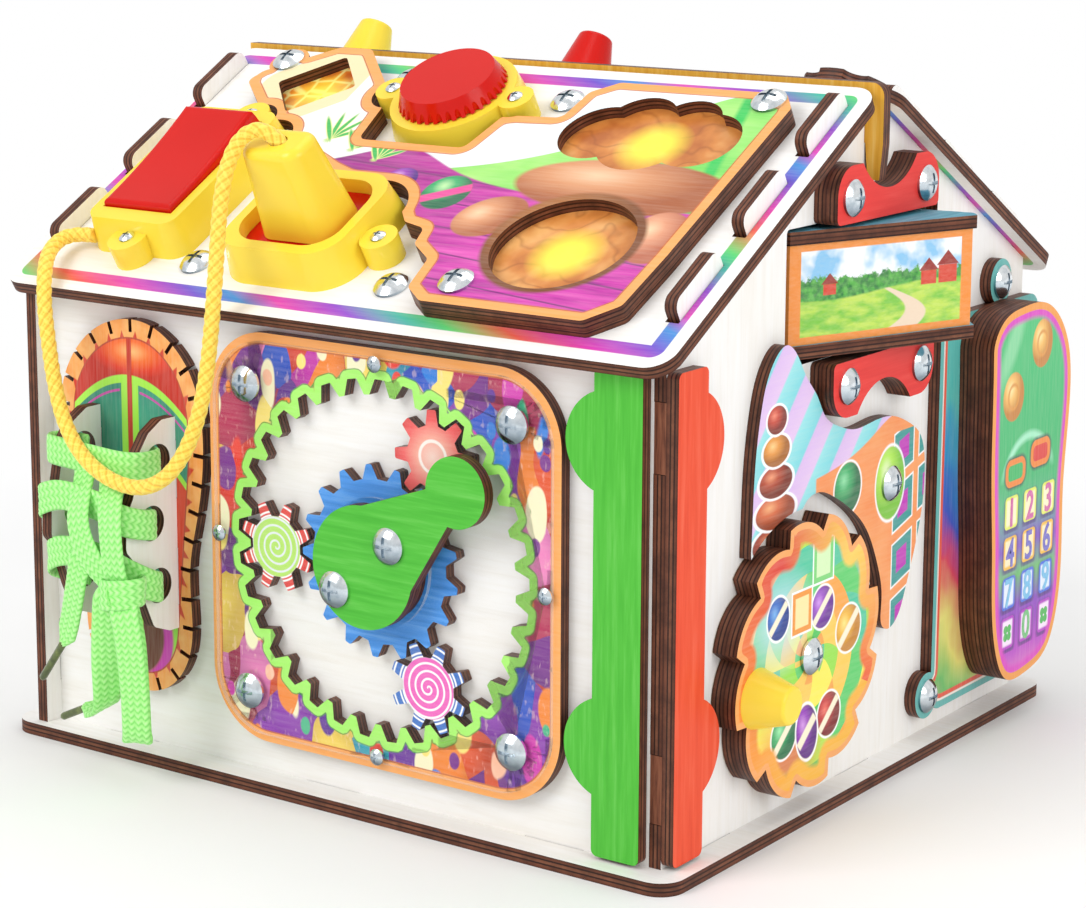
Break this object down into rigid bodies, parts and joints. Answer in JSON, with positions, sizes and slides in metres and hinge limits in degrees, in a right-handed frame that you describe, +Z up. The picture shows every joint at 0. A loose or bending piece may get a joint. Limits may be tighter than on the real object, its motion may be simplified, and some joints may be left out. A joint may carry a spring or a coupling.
{
  "type": "busy board",
  "caption": "Wooden busy-board house: lacing shoe, planetary gears with a crank, plug and switch toys, light windows, picture prism, toothed wheel and toy phone.",
  "frame": {"origin": "middle of the base's underside, on the surface that the house stands on", "axes": "+Z up; +X to the right along the front wall; the front wall faces -Y and the right gable +X"},
  "size_m": [0.2704, 0.2591, 0.2248],
  "materials": {
    "white_ply": "white-washed birch plywood, dark laser-cut edges",
    "print_ply": "printed birch plywood, dark laser-cut edges",
    "green_ply": "green-stained plywood",
    "red_ply": "red-stained plywood",
    "orange_ply": "orange-stained plywood",
    "blue_ply": "blue-stained plywood",
    "plain_ply": "plain plywood",
    "clear_sheet": "clear acrylic",
    "yellow_plastic": "glossy",
    "red_plastic": "glossy",
    "dark_plastic": "plain",
    "bright_steel": "bright zinc",
    "yellow_rope": "braided",
    "green_lace": "woven flat lace",
    "lamp_board": "circuit board"
  },
  "bodies": {
    "house": {"base_plate": "white_ply", "front_wall": "white_ply", "back_wall": "white_ply", "left_gable": "white_ply", "right_gable": "white_ply", "front_roof": "white_ply", "back_roof": "white_ply", "ridge_board": "orange_ply", "battery_hatch": "white_ply", "corner_trim_green": "green_ply", "corner_trim_red": "red_ply", "shoe_sole": "print_ply", "lacing_plates": "white_ply", "shoelace": "green_lace", "lace_tips": "dark_plastic", "gear_panel": "print_ply", "gear_cover": "clear_sheet", "gear_backing": "plain_ply", "overlay_board": "print_ply", "overlay_backing": "plain_ply", "light_windows": "clear_sheet", "led_boards": "lamp_board", "battery_box": "dark_plastic", "light_wires": "dark_plastic", "switch_housing": "yellow_plastic", "socket_frame": "yellow_plastic", "socket_insert": "red_plastic", "knob_ring": "yellow_plastic", "plug_rope": "yellow_rope", "bracket_plies": "plain_ply", "bracket_faces": "red_ply", "picture_shelves": "plain_ply", "picture_plate": "print_ply", "phone_frame": "print_ply", "phone_pegs": "plain_ply", "slider_board": "print_ply", "fasteners": "bright_steel"},
    "crank": {"sun_gear": "blue_ply", "sun_axle": "bright_steel", "crank_spacer": "green_ply", "crank_arm": "green_ply", "crank_screws": "bright_steel"},
    "carrier": {"planet_carrier": "white_ply"},
    "planet_left": {"planet_gear_left": "print_ply"},
    "planet_lower": {"planet_gear_lower": "print_ply"},
    "planet_upper": {"planet_gear_upper": "print_ply"},
    "rocker": {"switch_rocker": "red_plastic"},
    "plug": {"plug_body": "yellow_plastic", "plug_prongs": "red_plastic"},
    "knob": {"ribbed_knob": "red_plastic"},
    "prism": {"picture_panels": "print_ply", "picture_end_plates": "blue_ply"},
    "wheel": {"wheel_back_disc": "plain_ply", "wheel_front_disc": "print_ply", "wheel_knob": "yellow_plastic"},
    "phone": {"phone_plies": "plain_ply", "phone_face": "print_ply"},
    "slider_yellow": {"slider_knob_yellow": "yellow_plastic"},
    "slider_red": {"slider_knob_red": "red_plastic"},
    "spinner": {"spinner_disc": "print_ply"}
  },
  "joints": [
    {"name": "crank_turn", "type": "hinge", "parent": "house", "child": "crank", "pos_m": [0.0215, -0.11, 0.0783], "axis": [0, -1, 0], "continuous": true},
    {"name": "carrier_turn", "type": "hinge", "parent": "house", "child": "carrier", "pos_m": [0.0215, -0.11, 0.0783], "axis": [0, -1, 0], "continuous": true},
    {"name": "planet_left_spin", "type": "hinge", "parent": "carrier", "child": "planet_left", "pos_m": [-0.01803, -0.11, 0.07692], "axis": [0, -1, 0], "continuous": true},
    {"name": "planet_lower_spin", "type": "hinge", "parent": "carrier", "child": "planet_lower", "pos_m": [0.03958, -0.11, 0.04312], "axis": [0, -1, 0], "continuous": true},
    {"name": "planet_upper_spin", "type": "hinge", "parent": "carrier", "child": "planet_upper", "pos_m": [0.04151, -0.11, 0.11241], "axis": [0, -1, 0], "continuous": true},
    {"name": "rocker_tilt", "type": "hinge", "parent": "house", "child": "rocker", "pos_m": [-0.082, -0.07847, 0.18143], "axis": [-1, 0, 0], "range_deg": [0, 10]},
    {"name": "plug_pull", "type": "slide", "parent": "house", "child": "plug", "axis": [0, -0.5, 0.866], "range_m": [0, 0.03], "deforming": ["plug_rope"]},
    {"name": "knob_turn", "type": "hinge", "parent": "house", "child": "knob", "pos_m": [-0.0115, -0.03257, 0.20793], "axis": [0, -0.5, 0.866], "continuous": true},
    {"name": "prism_turn", "type": "hinge", "parent": "house", "child": "prism", "pos_m": [0.10797, 0, 0.1383], "axis": [0, 0, 1], "continuous": true},
    {"name": "wheel_turn", "type": "hinge", "parent": "house", "child": "wheel", "pos_m": [0.12247, -0.042, 0.0515], "axis": [1, 0, 0], "continuous": true},
    {"name": "phone_lift", "type": "slide", "parent": "house", "child": "phone", "axis": [1, 0, 0], "range_m": [0, 0.03]},
    {"name": "yellow_knob_slide", "type": "slide", "parent": "house", "child": "slider_yellow", "axis": [1, 0, 0], "range_m": [0, 0.035]},
    {"name": "red_knob_slide", "type": "slide", "parent": "house", "child": "slider_red", "axis": [-1, 0, 0], "range_m": [0, 0.035]},
    {"name": "spinner_turn", "type": "hinge", "parent": "house", "child": "spinner", "pos_m": [0.097, 0.02624, 0.20696], "axis": [0, 0.5, 0.866], "continuous": true}
  ],
  "couplings": [
    {"joint": "carrier_turn", "follows": "crank_turn", "ratio": 0.34},
    {"joint": "planet_left_spin", "follows": "crank_turn", "ratio": -1.4025},
    {"joint": "planet_lower_spin", "follows": "crank_turn", "ratio": -1.4025},
    {"joint": "planet_upper_spin", "follows": "crank_turn", "ratio": -1.4025}
  ]
}
